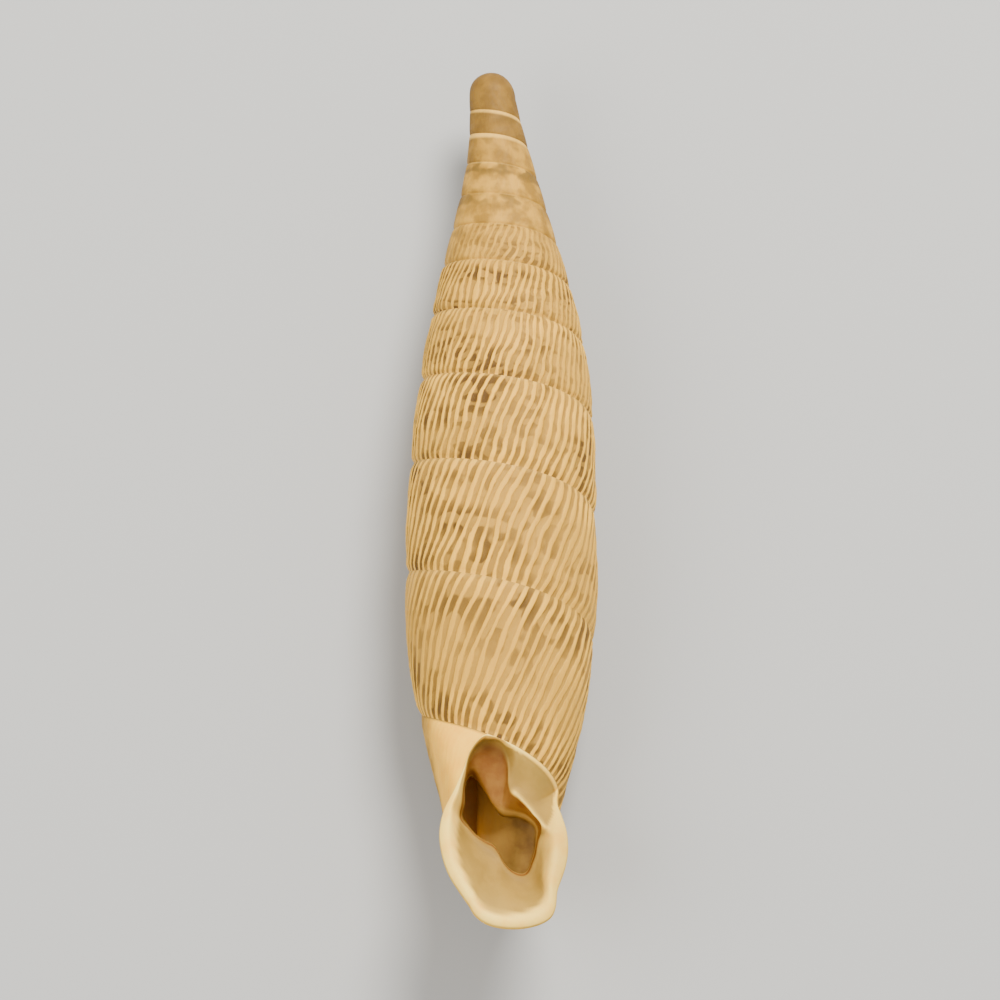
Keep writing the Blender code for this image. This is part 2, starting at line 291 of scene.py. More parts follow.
# %% Each point's turn, and its share of the way from the upper seam to the lower one
ROWS_NEAR_SEAMS = 0.07
grid = coil_tree.nodes.new("GeometryNodeMeshGrid")
grid.inputs["Vertices X"].default_value = column_total
grid.inputs["Vertices Y"].default_value = ROWS
number = coil_tree.nodes.new("GeometryNodeInputIndex")
# the index is asked for on the points, because the numbers are stored on the corners
of_point = coil_tree.nodes.new("GeometryNodeFieldOnDomain")
of_point.data_type = "INT"
of_point.domain = "POINT"
coil_tree.links.new(number.outputs[0], of_point.inputs[0])
index = Rule(of_point.outputs[0])
column = Rule.step("FLOOR", (index + 0.5) / float(ROWS))
row = index - column * float(ROWS)
share = row / float(ROWS - 1)
share = share - ROWS_NEAR_SEAMS * Rule.step("SINE", share * TAU)
turn = column / float(COLUMNS) - (LEAN_COLUMNS / COLUMNS) * share

top = seam_depth(turn)
closing = eased((turn - MOUTH_SIDE_TURN) / (BASE_CLOSED_TURN - MOUTH_SIDE_TURN))
bottom = seam_depth(turn + 1.0) * (1.0 - closing) + BASE_END * closing
depth = top + (bottom - top) * share
print("nodes after the grid is laid out:", len(coil_tree.nodes))

# %% Where each point lies on its rib, and how worn that rib is
RIB_LEAN = 0.026
LAST_WHORL_LEAN = 0.085
LEAN_TURNS = 10.2
CROWDING = 2.2
CROWDED_TURNS = 2.2
MORE_RIBS = 18.0
MORE_RIBS_TURN = 7.3
MORE_RIBS_SPAN = 1.5
RIB_WAVER = 2.2
RIB_WOBBLE = 0.32
RIBS_BEGIN = 4.3
RIBS_BEGIN_SPAN = 1.9
NECK_BEGIN = 10.45
NECK_WEAR = 0.8
RIB_SHARPNESS = 1.4
LEAST_RIB = 0.2
rib_lean = RIB_LEAN + LAST_WHORL_LEAN * (largest(turn, 0.0) / LEAN_TURNS) ** 5.0
rib_turn = turn + rib_lean * (share - 0.5)
crowding = CROWDING * exponential((1.0 - turn) / CROWDED_TURNS)
rib_place = rib_count * (rib_turn + crowding)
rib_place = rib_place + MORE_RIBS * Rule.step("TANH", (turn - MORE_RIBS_TURN) / MORE_RIBS_SPAN)
waver = noise_of(coil_tree, rib_place * 0.16, share * 1.3, 1.0, 2.0, seed) - 0.5
wobble = noise_of(coil_tree, rib_place * 0.6, share * 5.0, 1.0, 1.0, seed + 4.0) - 0.5
rib_place = rib_place + RIB_WAVER * waver + RIB_WOBBLE * wobble
wave = 0.5 + 0.5 * Rule.step("COSINE", rib_place * TAU)
wear = noise_of(coil_tree, rib_place * 0.45, share * 2.6, 1.0, 2.0, seed + 7.0)
wear = eased((wear - 0.30) / 0.30)
from_seam = share * (1.0 - share)
ends = eased(from_seam * 14.0)
started = eased((turn - RIBS_BEGIN) / RIBS_BEGIN_SPAN)
neck_fade = 1.0 - NECK_WEAR * eased((turn - NECK_BEGIN) / 0.45)
base_fade = 1.0 - closing * eased((share - 0.55) / 0.4)
strength = started * neck_fade * base_fade
rib = wave ** RIB_SHARPNESS * (LEAST_RIB + (1.0 - LEAST_RIB) * wear)
growth = noise_of(coil_tree, rib_place * 1.9, share * 1.2, 1.0, 1.0, seed + 13.0) - 0.5
print("ribs begin at turn", RIBS_BEGIN)

# %% Grooves at the seams, bulging whorls and the final radius
GROOVE_SHARPNESS = 26.0
GROWTH_RELIEF = 0.35
near_upper = (1.0 - share) ** GROOVE_SHARPNESS
near_lower = share ** GROOVE_SHARPNESS * (1.0 - closing)
groove = groove_size * (near_upper + near_lower) * eased(depth / 5.0 + 0.12)
bulge = bulge_size * from_seam * 4.0 * (1.0 - closing)
size = eased((depth + 2.5) / 11.0)
raised = rib_height * size * strength * ends * (rib + GROWTH_RELIEF * growth)
radius = outline_radius(depth) + bulge * size - groove + raised
print("ribs stand up to", RIB_HEIGHT, "mm high")

# %% Bend the grid and keep the numbers for the material
angle = turn * TAU
place = coil_tree.nodes.new("ShaderNodeCombineXYZ")
x = (axis_lean(depth) - radius * Rule.step("COSINE", angle)) * MM
y = TIP_Y - depth * MM
z = AXIS_Z + radius * Rule.step("SINE", angle) * MM
for slot, value in zip(place.inputs, (x, y, z)):
    joined(coil_tree, value, slot)
flow = stored(coil_tree, grid.outputs["Mesh"], "turn", turn)
flow = stored(coil_tree, flow, "share", share)
flow = stored(coil_tree, flow, "rib_place", rib_place)
flow = stored(coil_tree, flow, "ribbed", strength)
bend = coil_tree.nodes.new("GeometryNodeSetPosition")
coil_tree.links.new(flow, bend.inputs["Geometry"])
coil_tree.links.new(place.outputs[0], bend.inputs["Position"])
real = coil_tree.nodes.new("GeometryNodeRealizeInstances")
coil_tree.links.new(bend.outputs["Geometry"], real.inputs["Geometry"])
paint = coil_tree.nodes.new("GeometryNodeSetMaterial")
coil_tree.links.new(real.outputs["Geometry"], paint.inputs["Geometry"])
coil_tree.links.new(given.outputs["Material"], paint.inputs["Material"])
result = coil_tree.nodes.new("NodeGroupOutput")
coil_tree.links.new(paint.outputs["Geometry"], result.inputs[0])
shell_skin = bpy.data.materials.new("shell_skin")
print("the tree has", len(coil_tree.nodes), "nodes")

# %% Run the tree and keep its result as a plain mesh
holder = bpy.data.objects.new("coil", bpy.data.meshes.new("coil"))
bpy.context.scene.collection.objects.link(holder)
coiling = holder.modifiers.new("coil", "NODES")
coiling.node_group = coil_tree
coiling[rib_count_id] = RIBS_PER_WHORL
coiling[rib_height_id] = RIB_HEIGHT
coiling[groove_id] = SEAM_GROOVE
coiling[bulge_id] = WHORL_BULGE
coiling[seed_id] = SEED
coiling[skin_id] = shell_skin
seen = holder.evaluated_get(bpy.context.evaluated_depsgraph_get())
coil_mesh = bpy.data.meshes.new_from_object(seen)
bpy.data.objects.remove(holder, do_unlink=True)
print("coil points:", len(coil_mesh.vertices), "faces:", len(coil_mesh.polygons))

# %% [markdown]
# ## Closing the tip
# The coil starts at a small open ring. The tip over it is a smooth dome. It is filled from the ring's
# points to one pole, with a few rings of points between, placed on quarter ovals so that the dome is
# round. The coil's edges come from the grid, so we can name each edge point by its column and row.

# %% The mesh that everything is added to
work = bmesh.new()
work.from_mesh(coil_mesh)
lip_mark = work.verts.layers.float.new("lip")
throat_mark = work.verts.layers.float.new("throat")
neck_mark = work.verts.layers.float.new("neck")
turn_mark = work.loops.layers.float["turn"]
share_mark = work.loops.layers.float["share"]
rib_mark = work.loops.layers.float["rib_place"]
ribbed_mark = work.loops.layers.float["ribbed"]
coil_points = list(work.verts)
rib_places = {}
NO_RIBS = (0.0, 0.5, 0.0)
print("the mesh starts with", len(coil_points), "points")


def coil_point(column_number, row_number):
    return coil_points[column_number * ROWS + row_number]


def add_point(place, lip=0.0, throat=0.0, neck=0.0):
    point = work.verts.new(place)
    point[lip_mark] = lip
    point[throat_mark] = throat
    point[neck_mark] = neck
    return point


def add_face(corners):
    """A smooth face. Its corners keep each point's place in the run of ribs, if it has one."""
    made = work.faces.new(corners)
    made.smooth = True
    for corner in made.loops:
        counted, turned, ribbed_here = rib_places.get(corner.vert, NO_RIBS)
        corner[share_mark] = 0.5
        corner[rib_mark] = counted
        corner[turn_mark] = turned
        corner[ribbed_mark] = ribbed_here


def even_shares(row):
    return [k / (len(row) - 1) for k in range(len(row))]


def fill_between(first, second, first_shares=None):
    """Triangles between two rows of points that need not be equally many."""
    first_shares = first_shares or even_shares(first)
    second_shares = even_shares(second)
    i = 0
    j = 0
    last_i = len(first) - 1
    last_j = len(second) - 1
    while i < last_i or j < last_j:
        if j == last_j or (i < last_i and first_shares[i + 1] <= second_shares[j + 1]):
            corners = (first[i], first[i + 1], second[j])
            i += 1
        else:
            corners = (first[i], second[j + 1], second[j])
            j += 1
        if len(set(corners)) == 3:
            add_face(corners)


# %% Fill the dome
DOME_RINGS = 8
TIP_X = -0.21
dome_edge = [coil_point(i, 0) for i in range(COLUMNS - LEAN_COLUMNS)]
dome_edge += [coil_point(0, j) for j in range(ROWS - 1, 0, -1)]
tip_place = Vector((TIP_X * MM, TIP_Y, AXIS_Z))
tip = add_point(tip_place)
spokes = []
for edge_point in dome_edge:
    across = edge_point.co - tip_place
    down = across.y
    across.y = 0.0
    spoke = [tip]
    for ring in range(1, DOME_RINGS):
        lift = 0.5 * math.pi * ring / DOME_RINGS
        out = across * math.sin(lift)
        spoke.append(add_point(tip_place + out + Vector((0.0, down * (1.0 - math.cos(lift)), 0.0))))
    spoke.append(edge_point)
    spokes.append(spoke)
for number, spoke in enumerate(spokes):
    fill_between(spoke, spokes[(number + 1) % len(spokes)])
print("tip dome filled from", len(dome_edge), "edge points")

# %% [markdown]
# ## The neck
# In its last quarter turn the tube leaves the coil and comes straight forward to the mouth. Its upper
# edge still follows the seam on the whorl above, and its lower edge follows a crease on the base. The
# skin between is drawn as curves that leave the coil in its own direction and arrive at the lip
# turned outward. The lip's rim is an oval with small bumps and hollows, and it isn't flat: it stands
# furthest forward at the bottom and lies back against the body at its upper right.

# %% Curves that run round the mouth
MOUTH_X = 0.066
MOUTH_DEPTH = 17.80
MOUTH_FRONT = 1.88
MOUTH_SLOPE = 0.287
RIM_STEPS = 140


def shape_point(x_mm, depth_mm, height_mm):
    """A place given by its distance right of the axis, its depth and its height above the axis."""
    return Vector((x_mm * MM, TIP_Y - depth_mm * MM, AXIS_Z + height_mm * MM))


def mix(first, second, part):
    return first + (second - first) * part


def apart(angle, centre):
    return (angle - centre + 180.0) % 360.0 - 180.0


def round_curve(*knots):
    """A smooth closed curve of values round the mouth, from pairs of degrees and value."""
    count = len(knots)

    def value_at(angle):
        angle = angle % 360.0
        later = next((k for k in range(count) if knots[k][0] > angle), count)
        picked = []
        for k in range(later - 2, later + 2):
            degrees, value = knots[k % count]
            picked.append((degrees + 360.0 * (k // count), value))
        (a0, v0), (a1, v1), (a2, v2), (a3, v3) = picked
        gap = a2 - a1
        part = (angle - a1) / gap
        rise1 = (v2 - v0) / (a2 - a0) * gap
        rise2 = (v3 - v1) / (a3 - a1) * gap
        bend = 2.0 * part ** 3 - 3.0 * part ** 2
        start = (bend + 1.0) * v1 + (part ** 3 - 2.0 * part ** 2 + part) * rise1
        return start - bend * v2 + (part ** 3 - part ** 2) * rise2

    return value_at


# degrees run anticlockwise from the right, values are millimetres from the mouth's centre
rim_reach = round_curve((15, 1.35), (30, 1.43), (45, 1.85), (75, 2.2), (100, 2.2), (111, 1.98),
                        (122, 1.65), (139, 1.42), (160, 1.38), (190, 1.42), (205, 1.47),
                        (221, 1.57), (235, 1.69), (246, 1.86), (251, 2.0), (260, 2.14),
                        (275, 2.22), (290, 2.25), (298, 2.2), (303, 2.06), (310, 1.8),
                        (320, 1.65), (341, 1.48), (358, 1.39))
rim_height = round_curve((0, 1.42), (20, 1.05), (40, 0.62), (60, 0.5), (80, 1.2), (100, 1.52),
                         (130, 1.68), (180, 1.8), (230, 1.92), (270, 1.96), (310, 1.85), (340, 1.66))


def rim_place(angle):
    reach = rim_reach(angle)
    height = rim_height(angle)
    right = math.cos(math.radians(angle)) * reach
    up = math.sin(math.radians(angle)) * reach
    return shape_point(MOUTH_X + right, MOUTH_DEPTH - up + MOUTH_SLOPE * (height - MOUTH_FRONT), height)


def angle_in_mouth(place):
    right = place.x / MM - MOUTH_X
    height = (place.z - AXIS_Z) / MM
    up = (place.y - TIP_Y) / MM + MOUTH_DEPTH + MOUTH_SLOPE * (height - MOUTH_FRONT)
    return math.degrees(math.atan2(up, right)) % 360.0


# %% The edges that the neck hangs between
def lower_edge_point(turn):
    """The coil's lower edge point that lies at this turn."""
    return coil_point(round(turn * COLUMNS) + LEAN_COLUMNS, ROWS - 1)


neck_start = TURNS + LEAN_COLUMNS / COLUMNS - 1.0
neck_steps = round((MOUTH_TOP_TURN - neck_start) * COLUMNS)
upper_edge = [lower_edge_point(neck_start + k / COLUMNS) for k in range(neck_steps + 1)]
base_edge = [lower_edge_point(BASE_CLOSED_TURN - k / COLUMNS) for k in range(neck_steps + 1)]
ridge_steps = round((MOUTH_SIDE_TURN - MOUTH_TOP_TURN) * COLUMNS)
ridge = [lower_edge_point(MOUTH_SIDE_TURN - k / COLUMNS) for k in range(1, ridge_steps)]
start_column = [coil_point(column_total - 1, j) for j in range(ROWS)]
before_column = [coil_point(column_total - 4, j) for j in range(ROWS)]
top_place = upper_edge[-1].co.copy()
side_place = base_edge[-1].co.copy()
top_angle = angle_in_mouth(top_place)
side_angle = angle_in_mouth(side_place) + 360.0
print("rim runs from", round(top_angle), "to", round(side_angle), "degrees; neck steps", neck_steps)


def along_list(places, part):
    """The place at this share of the way along a list of places."""
    reach = part * (len(places) - 1)
    low = min(int(reach), len(places) - 2)
    return places[low].lerp(places[low + 1], reach - low)


def edge_way(points, last):
    """How an edge runs at its start or its end, as long as the whole edge would be at that pace."""
    a, b = (points[-3], points[-1]) if last else (points[0], points[2])
    return (b.co - a.co) * (0.5 * (len(points) - 1))


# %% Draw the neck's skin
NECK_PUSH = 1.7 * MM
FLARE = 0.7 * MM
NECK_RISE = 1.1 * MM
BASE_PART = 0.62
CORNER_PULL = 12.0
start_places = [point.co.copy() for point in start_column]
growth_ways = [(a.co - b.co).normalized() for a, b in zip(start_column, before_column)]
mouth_middle = shape_point(MOUTH_X, MOUTH_DEPTH, MOUTH_FRONT)
top_leave, top_arrive = edge_way(upper_edge, False), edge_way(upper_edge, True)
base_leave, base_arrive = edge_way(base_edge, False), edge_way(base_edge, True)


def start_share(part):
    """How far down the coil's last column this part of the rim hangs.

    Past BASE_PART, every part of the rim hangs from the column's end.
    """
    return 1.0 - (1.0 - min(part / BASE_PART, 1.0)) ** 1.5


def share_start(share):
    """The part of the rim that hangs at this share of the coil's last column."""
    return BASE_PART * (1.0 - (1.0 - share) ** (1.0 / 1.5))


def neck_place(part, q):
    """A point of the neck: part runs round the section, q from the coil to the rim."""
    start = along_list(start_places, start_share(part))
    angle = mix(top_angle, side_angle, part)
    end = rim_place(angle)
    end += (top_place - rim_place(top_angle)) * (1.0 - part) ** CORNER_PULL
    end += (side_place - rim_place(side_angle)) * part ** CORNER_PULL
    outward = end - mouth_middle
    outward.z = 0.0
    straight = Vector((end.x - start.x, 0.0, end.z - start.z)).normalized()
    way = along_list(growth_ways, start_share(part)).lerp(straight, eased((part - 0.3) / 0.25))
    leave = way * NECK_PUSH
    arrive = outward.normalized() * FLARE + Vector((0.0, 0.0, NECK_RISE))
    near_top = 1.0 - eased(part / 0.22)
    near_base = eased((part - 0.80) / 0.20)
    leave = leave.lerp(top_leave, near_top).lerp(base_leave, near_base)
    arrive = arrive.lerp(top_arrive, near_top).lerp(base_arrive, near_base)
    bend = 3.0 * q ** 2 - 2.0 * q ** 3
    place = start * (1.0 - bend) + leave * (q ** 3 - 2.0 * q ** 2 + q)
    return place + end * bend + arrive * (q ** 3 - q ** 2)


# %% Fill the neck with rows of points
EDGE_PULL = 6.0
NECK_RIBS = 12.0
NECK_TURNS = 0.2
NECK_RIBBED = 0.2
# the ribs run on faintly over the neck, so its points go on counting them
start_ribs = []
for point in start_column:
    corner = point.link_loops[0]
    start_ribs.append((corner[rib_mark], corner[turn_mark], corner[ribbed_mark]))
    rib_places[point] = start_ribs[-1]
skin_rows = [list(start_column)]
for k in range(1, neck_steps + 1):
    q = k / neck_steps
    top_gap = upper_edge[k].co - neck_place(0.0, q)
    base_gap = base_edge[k].co - neck_place(1.0, q)
    skin_row = [upper_edge[k]]
    for j in range(1, RIM_STEPS):
        part = j / RIM_STEPS
        place_now = neck_place(part, q)
        place_now += top_gap * (1.0 - part) ** EDGE_PULL + base_gap * part ** EDGE_PULL
        reach = start_share(part) * (ROWS - 1)
        low = min(int(reach), ROWS - 2)
        counted = mix(start_ribs[low][0], start_ribs[low + 1][0], reach - low)
        added = add_point(place_now, neck=eased(3.0 * q))
        faint = NECK_RIBBED * (1.0 - 0.6 * q)
        rib_places[added] = (counted + NECK_RIBS * q, TURNS + NECK_TURNS * q, faint)
        skin_row.append(added)
    skin_row.append(base_edge[k])
    skin_rows.append(skin_row)
column_parts = [share_start(j / (ROWS - 1)) for j in range(ROWS)]
fill_between(skin_rows[0], skin_rows[1], column_parts)
for k in range(1, neck_steps):
    fill_between(skin_rows[k], skin_rows[k + 1])
print("neck skin rows:", len(skin_rows))

# %% [markdown]
# ## The lip, the folds and the throat
# The rim turns outward and is thick and rounded. Inside it the wall slopes down to the throat, a
# narrow slanted opening. At the upper right a shelf runs from the ridge to a sharp fold. Behind that
# fold the wall drops to a second fold, which curves into the throat. All this is one stack of closed
# rings, each with as many points as the rim, and each a little further in. One more fold, low and
# straight, crosses the shelf from the ridge to the right side of the lip.

# %% Where the folds run
rim_ring = skin_rows[-1] + ridge
rim_places = [point.co.copy() for point in rim_ring]
ring_angles = [angle_in_mouth(place) for place in rim_places]
THROAT_X = -0.066
upper_fold_reach = round_curve((3, 0.95), (22, 0.83), (40, 0.80), (56, 0.82), (70, 0.88), (78, 1.1),
                               (82, 1.55), (88, 1.93), (95, 2.03), (103, 1.94), (112, 1.69),
                               (121, 1.38), (140, 1.02), (162, 0.87), (178, 0.64), (211, 0.45),
                               (244, 0.39), (262, 0.44), (272, 0.56), (280, 0.8), (291, 1.08),
                               (301, 1.19), (318, 1.05), (342, 0.92))
upper_fold_height = round_curve((9, 1.12), (41, 1.10), (74, 1.12), (90, 1.25), (120, 1.2), (150, 1.1),
                                (204, 1.0), (249, 1.0), (285, 1.0), (323, 1.1))
lower_fold_reach = round_curve((3, 0.86), (25, 0.73), (50, 0.55), (72, 0.49), (92, 0.53), (103, 0.66),
                               (109, 0.95), (114, 1.33), (121, 1.32), (140, 0.96), (162, 0.83),
                               (178, 0.61), (211, 0.42), (244, 0.36), (262, 0.41), (272, 0.53),
                               (280, 0.77), (291, 1.04), (301, 1.15), (318, 1.01), (342, 0.88))
lower_fold_height = round_curve((6, 0.85), (40, 0.78), (80, 0.78), (110, 0.8), (150, 0.75),
                                (220, 0.75), (300, 0.75))
fold_thickness = round_curve((0, 0.06), (25, 0.17), (60, 0.19), (90, 0.15), (110, 0.05), (180, 0.02),
                             (270, 0.02), (330, 0.02))
lip_width = round_curve((3, 0.40), (22, 0.14), (55, 0.1), (85, 0.09), (120, 0.1), (145, 0.2),
                        (170, 0.38), (200, 0.42), (235, 0.38), (270, 0.34), (300, 0.45),
                        (330, 0.62), (348, 0.58))
print("the lip is", lip_width(330.0), "mm wide at its lower right and", lip_width(85.0), "mm at the top")

# %% Helpers for the folds
FOLD_START = (0.24, 0.93)
FOLD_WAY = 49.7
FOLD_LENGTH = 1.5
FOLD_WIDTH = 0.08
FOLD_HEIGHT = 0.17
LIP_CROWN = 0.25
DULL_LIP_ANGLE = 340.0
DULL_LIP_SPREAD = 45.0


def fold_place(angle, reach_curve, height_curve):
    """A point of a fold's edge. The throat leans: the further in, the nearer to the tip."""
    reach = reach_curve(angle)
    height = height_curve(angle)
    right = math.cos(math.radians(angle)) * reach
    up = math.sin(math.radians(angle)) * reach
    return shape_point(THROAT_X + right, MOUTH_DEPTH - up + MOUTH_SLOPE * (height - MOUTH_FRONT), height)


def straight_fold(place):
    """1 on the straight fold that runs from the ridge down to the right lip, 0 away from it."""
    right = place.x / MM - THROAT_X - FOLD_START[0]
    height = (place.z - AXIS_Z) / MM
    up = (place.y - TIP_Y) / MM + MOUTH_DEPTH + MOUTH_SLOPE * (height - MOUTH_FRONT) - FOLD_START[1]
    way = math.radians(FOLD_WAY)
    along = right * math.cos(way) - up * math.sin(way)
    aside = right * math.sin(way) + up * math.cos(way)
    return math.exp(-((aside / FOLD_WIDTH) ** 2)) * eased(along / 0.2) * eased((FOLD_LENGTH - along) / 0.3)


def slope_point(rim, angle, part):
    """A point between the rim and the upper fold, with its mark of 1 on the lip's band."""
    inner = fold_place(angle, upper_fold_reach, upper_fold_height)
    flat = inner - rim
    flat.z = 0.0
    reach = flat.length / MM
    band = min(lip_width(angle), 0.9 * reach)
    distance = part * reach
    place = rim.lerp(inner, part)
    sink = eased((distance - 0.5 * band) / max(reach - 0.5 * band, 0.05))
    height = mix(rim.z, inner.z, sink)
    if distance < band:
        height += LIP_CROWN * band * math.sin(math.pi * distance / band) ** 0.8 * MM
    ridge_share = straight_fold(place)
    height += FOLD_HEIGHT * MM * ridge_share
    on_lip = max(1.0 - eased((distance - 0.85 * band) / (0.3 * band)), 0.8 * ridge_share)
    on_lip *= 1.0 - 0.4 * hill(apart(angle, DULL_LIP_ANGLE), 0.0, DULL_LIP_SPREAD)
    return Vector((place.x, place.y, height)), on_lip


# %% Rings from the rim to the throat
LIP_PARTS = (0.03, 0.07, 0.12, 0.18, 0.25, 0.33, 0.42, 0.52, 0.62, 0.72, 0.80, 0.87, 0.93, 1.0)
rings = [rim_ring]
for part in LIP_PARTS:
    ring = []
    for rim, angle in zip(rim_places, ring_angles):
        place_now, on_lip = slope_point(rim, angle, part)
        ring.append(add_point(place_now, lip=on_lip, throat=mix(0.12, 0.30, part)))
    rings.append(ring)
upper_fold = [point.co.copy() for point in rings[-1]]
WALL_STEPS = 9
EDGE_STEPS = 3
EDGE_DROP = Vector((0.0, 0.04, -0.14)) * MM
for step in range(1, WALL_STEPS + 1):
    part = step / WALL_STEPS
    ring = []
    for edge, angle in zip(upper_fold, ring_angles):
        inner = fold_place(angle, lower_fold_reach, lower_fold_height)
        place_now = edge.lerp(inner, part)
        place_now.z = mix(edge.z, inner.z, part ** 0.7)
        ring.append(add_point(place_now, throat=mix(0.35, 0.50, part)))
    rings.append(ring)
lower_fold = [point.co.copy() for point in rings[-1]]
for step in range(1, EDGE_STEPS + 1):
    part = step / EDGE_STEPS
    ring = []
    for edge, angle in zip(lower_fold, ring_angles):
        turned = math.radians(angle)
        inward = Vector((-math.cos(turned), -math.sin(turned), 0.0)) * fold_thickness(angle) * MM
        ring.append(add_point(edge + (inward + EDGE_DROP) * part, throat=mix(0.52, 0.60, part)))
    rings.append(ring)
print("rings down to the throat:", len(rings), "of", len(rim_ring), "points")

# %% [markdown]
# ## The hollow inside
# A snail's shell is a hollow tube wound round a pillar, and the mouth lets us look a little way in. The
# rings go on back into the whorl for three quarters of a turn. They leave a thin wall on the outside
# and the pillar at the axis, and then they close on one point that can't be seen.

# %% Rings that wind back inside
INSIDE_STEPS = 26
INSIDE_START = 11.05
INSIDE_TURNS = 0.75
INSIDE_PACE = 1.2
PILLAR = 0.85
WALL = 0.2
BASE_WALL = 0.3
inner_edge = [point.co.copy() for point in rings[-1]]


def inside_place(angle, turn):
    """A point of the hollow inside the whorl: between the pillar, the wall and the two seams."""
    out = -math.cos(math.radians(angle))
    up = math.sin(math.radians(angle))
    top = seam_depth(turn) + WALL
    bottom = min(seam_depth(turn + 1.0), BASE_END - BASE_WALL) - WALL
    depth_now = mix(top, bottom, 0.5 - 0.5 * up)
    wall = outline_radius(depth_now) - WALL
    radius = mix(PILLAR, max(wall, PILLAR + 0.1), 0.5 + 0.5 * out)
    turn_angle = TAU * turn
    return shape_point(-radius * math.cos(turn_angle), depth_now, radius * math.sin(turn_angle))


for step in range(1, INSIDE_STEPS + 1):
    back = step / INSIDE_STEPS
    turn = INSIDE_START - INSIDE_TURNS * back ** INSIDE_PACE
    ring = []
    for edge, angle in zip(inner_edge, ring_angles):
        target = inside_place(angle, turn)
        place_now = edge.lerp(target, eased(back / 0.35))
        ring.append(add_point(place_now, throat=mix(0.7, 1.0, eased(back / 0.3))))
    rings.append(ring)
ring_size = len(rim_ring)
for outer, inner in zip(rings, rings[1:]):
    for k in range(ring_size):
        n = (k + 1) % ring_size
        add_face((outer[k], outer[n], inner[n], inner[k]))
last_ring = rings[-1]
end_place = sum((point.co for point in last_ring), Vector()) / ring_size
end_point = add_point(end_place, throat=1.0)
for k in range(ring_size):
    add_face((last_ring[k], last_ring[(k + 1) % ring_size], end_point))
print("rings:", len(rings), "of", ring_size, "points")

# %% [markdown]
# ## One closed skin
# The parts share their edges, so their doubles are merged into one closed skin. The lowest ribs are
# worn flat where the shell rests on the table: no point goes below it.

# %% Merge, flatten the resting spot and point the faces outward
bmesh.ops.remove_doubles(work, verts=work.verts, dist=0.00004 * MM)
bmesh.ops.dissolve_degenerate(work, edges=work.edges, dist=0.00002 * MM)
for point in work.verts:
    point.co.z = max(point.co.z, 0.0)
bmesh.ops.recalc_face_normals(work, faces=work.faces)
for face in work.faces:
    face.smooth = True
open_edges = sum(len(edge.link_faces) != 2 for edge in work.edges)
print("shell points:", len(work.verts), "faces:", len(work.faces), "open edges:", open_edges)
shell_mesh = bpy.data.meshes.new("shell")
work.to_mesh(shell_mesh)
work.free()
shell_mesh.materials.clear()
shell_mesh.materials.append(shell_skin)
shell = bpy.data.objects.new("shell", shell_mesh)
bpy.context.scene.collection.objects.link(shell)
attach(shell, "root")
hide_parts("snail_shell")

# %% [markdown]
# ## The shell's finish
# The ribs are cream. The gaps between them are tan, with darker patches and dark flecks, and a pale
# line follows each seam. The tip is a smooth tan. The neck is a warm plain tan, the lip is pale cream,
# and the throat is brown. Shade is painted into the throat, darker towards the hole. A painted
# highlight lies on the lower fold's edge, and painted light makes the hollow bright orange deep inside,
# where light would shine through the wall. The wall is thin, so a little light passes through it.
# The material reads the numbers stored on the mesh, so every colour stays with its own part.


# %% Helpers for the colours
def attribute(tree, name):
    node = tree.nodes.new("ShaderNodeAttribute")
    node.attribute_name = name
    return Rule(node.outputs["Fac"])


def blended(tree, amount, first, second):
    """One colour over another. Each is a colour or a socket."""
    node = tree.nodes.new("ShaderNodeMix")
    node.data_type = "RGBA"
    joined(tree, amount, node.inputs[0])
    for slot, colour in ((node.inputs[6], first), (node.inputs[7], second)):
        if isinstance(colour, tuple):
            slot.default_value = (*colour, 1.0)
        else:
            tree.links.new(colour, slot)
    return node.outputs[2]


def body_noise(tree, scale):
    """Smooth random numbers from 0 to 1 that vary through space, so they don't stop at a seam."""
    place = tree.nodes.new("ShaderNodeTexCoord")
    cloud = tree.nodes.new("ShaderNodeTexNoise")
    cloud.inputs["Scale"].default_value = scale
    cloud.inputs["Detail"].default_value = 3.0
    tree.links.new(place.outputs["Object"], cloud.inputs["Vector"])
    return Rule(cloud.outputs["Fac"])


# %% The numbers that the mesh carries, and the shell's gloss and glow
SHELL_GLOSS = 0.2
SHELL_GLOW = 0.25
GLOW_REACH = 0.5
GLOW_COLOUR = (1.0, 0.7, 0.35)
shell_skin.use_nodes = True
skin_tree = shell_skin.node_tree
Rule.tree = skin_tree
shader = skin_tree.nodes["Principled BSDF"]
shader.inputs["Specular IOR Level"].default_value = SHELL_GLOSS
shader.inputs["Subsurface Weight"].default_value = SHELL_GLOW
shader.inputs["Subsurface Scale"].default_value = GLOW_REACH * MM
shader.inputs["Subsurface Radius"].default_value = GLOW_COLOUR
turn = attribute(skin_tree, "turn")
share = attribute(skin_tree, "share")
rib_place = attribute(skin_tree, "rib_place")
ribbed = attribute(skin_tree, "ribbed")
lip = attribute(skin_tree, "lip")
throat = attribute(skin_tree, "throat")
neck = attribute(skin_tree, "neck")
print("light reaches", GLOW_REACH, "mm into the shell")

# %% Cream ribs over tan gaps
GAP_BROWN = (0.26, 0.138, 0.018)
GAP_TAN = (0.38, 0.203, 0.027)
WORN_TAN = (0.49, 0.268, 0.036)
RIB_CREAM = (0.79, 0.43, 0.045)
wave = 0.5 + 0.5 * Rule.step("COSINE", rib_place * TAU)
streaks = noise_of(skin_tree, rib_place * 0.8, share * 5.0, 1.0, 3.0, 5.0)
blotches = eased((noise_of(skin_tree, rib_place * 0.13, share * 2.4, 1.0, 2.0, 8.0) - 0.36) / 0.26)
clouds = eased((noise_of(skin_tree, turn * 7.0, share * 2.0, 1.0, 2.0, 9.0) - 0.3) / 0.4)
patch = noise_of(skin_tree, rib_place * 0.05, share * 1.3, 1.0, 2.0, 12.0)
patch = eased((patch - 0.38) / 0.22)
edge = 0.36 + 0.30 * blotches + 1.3 * (streaks - 0.5)
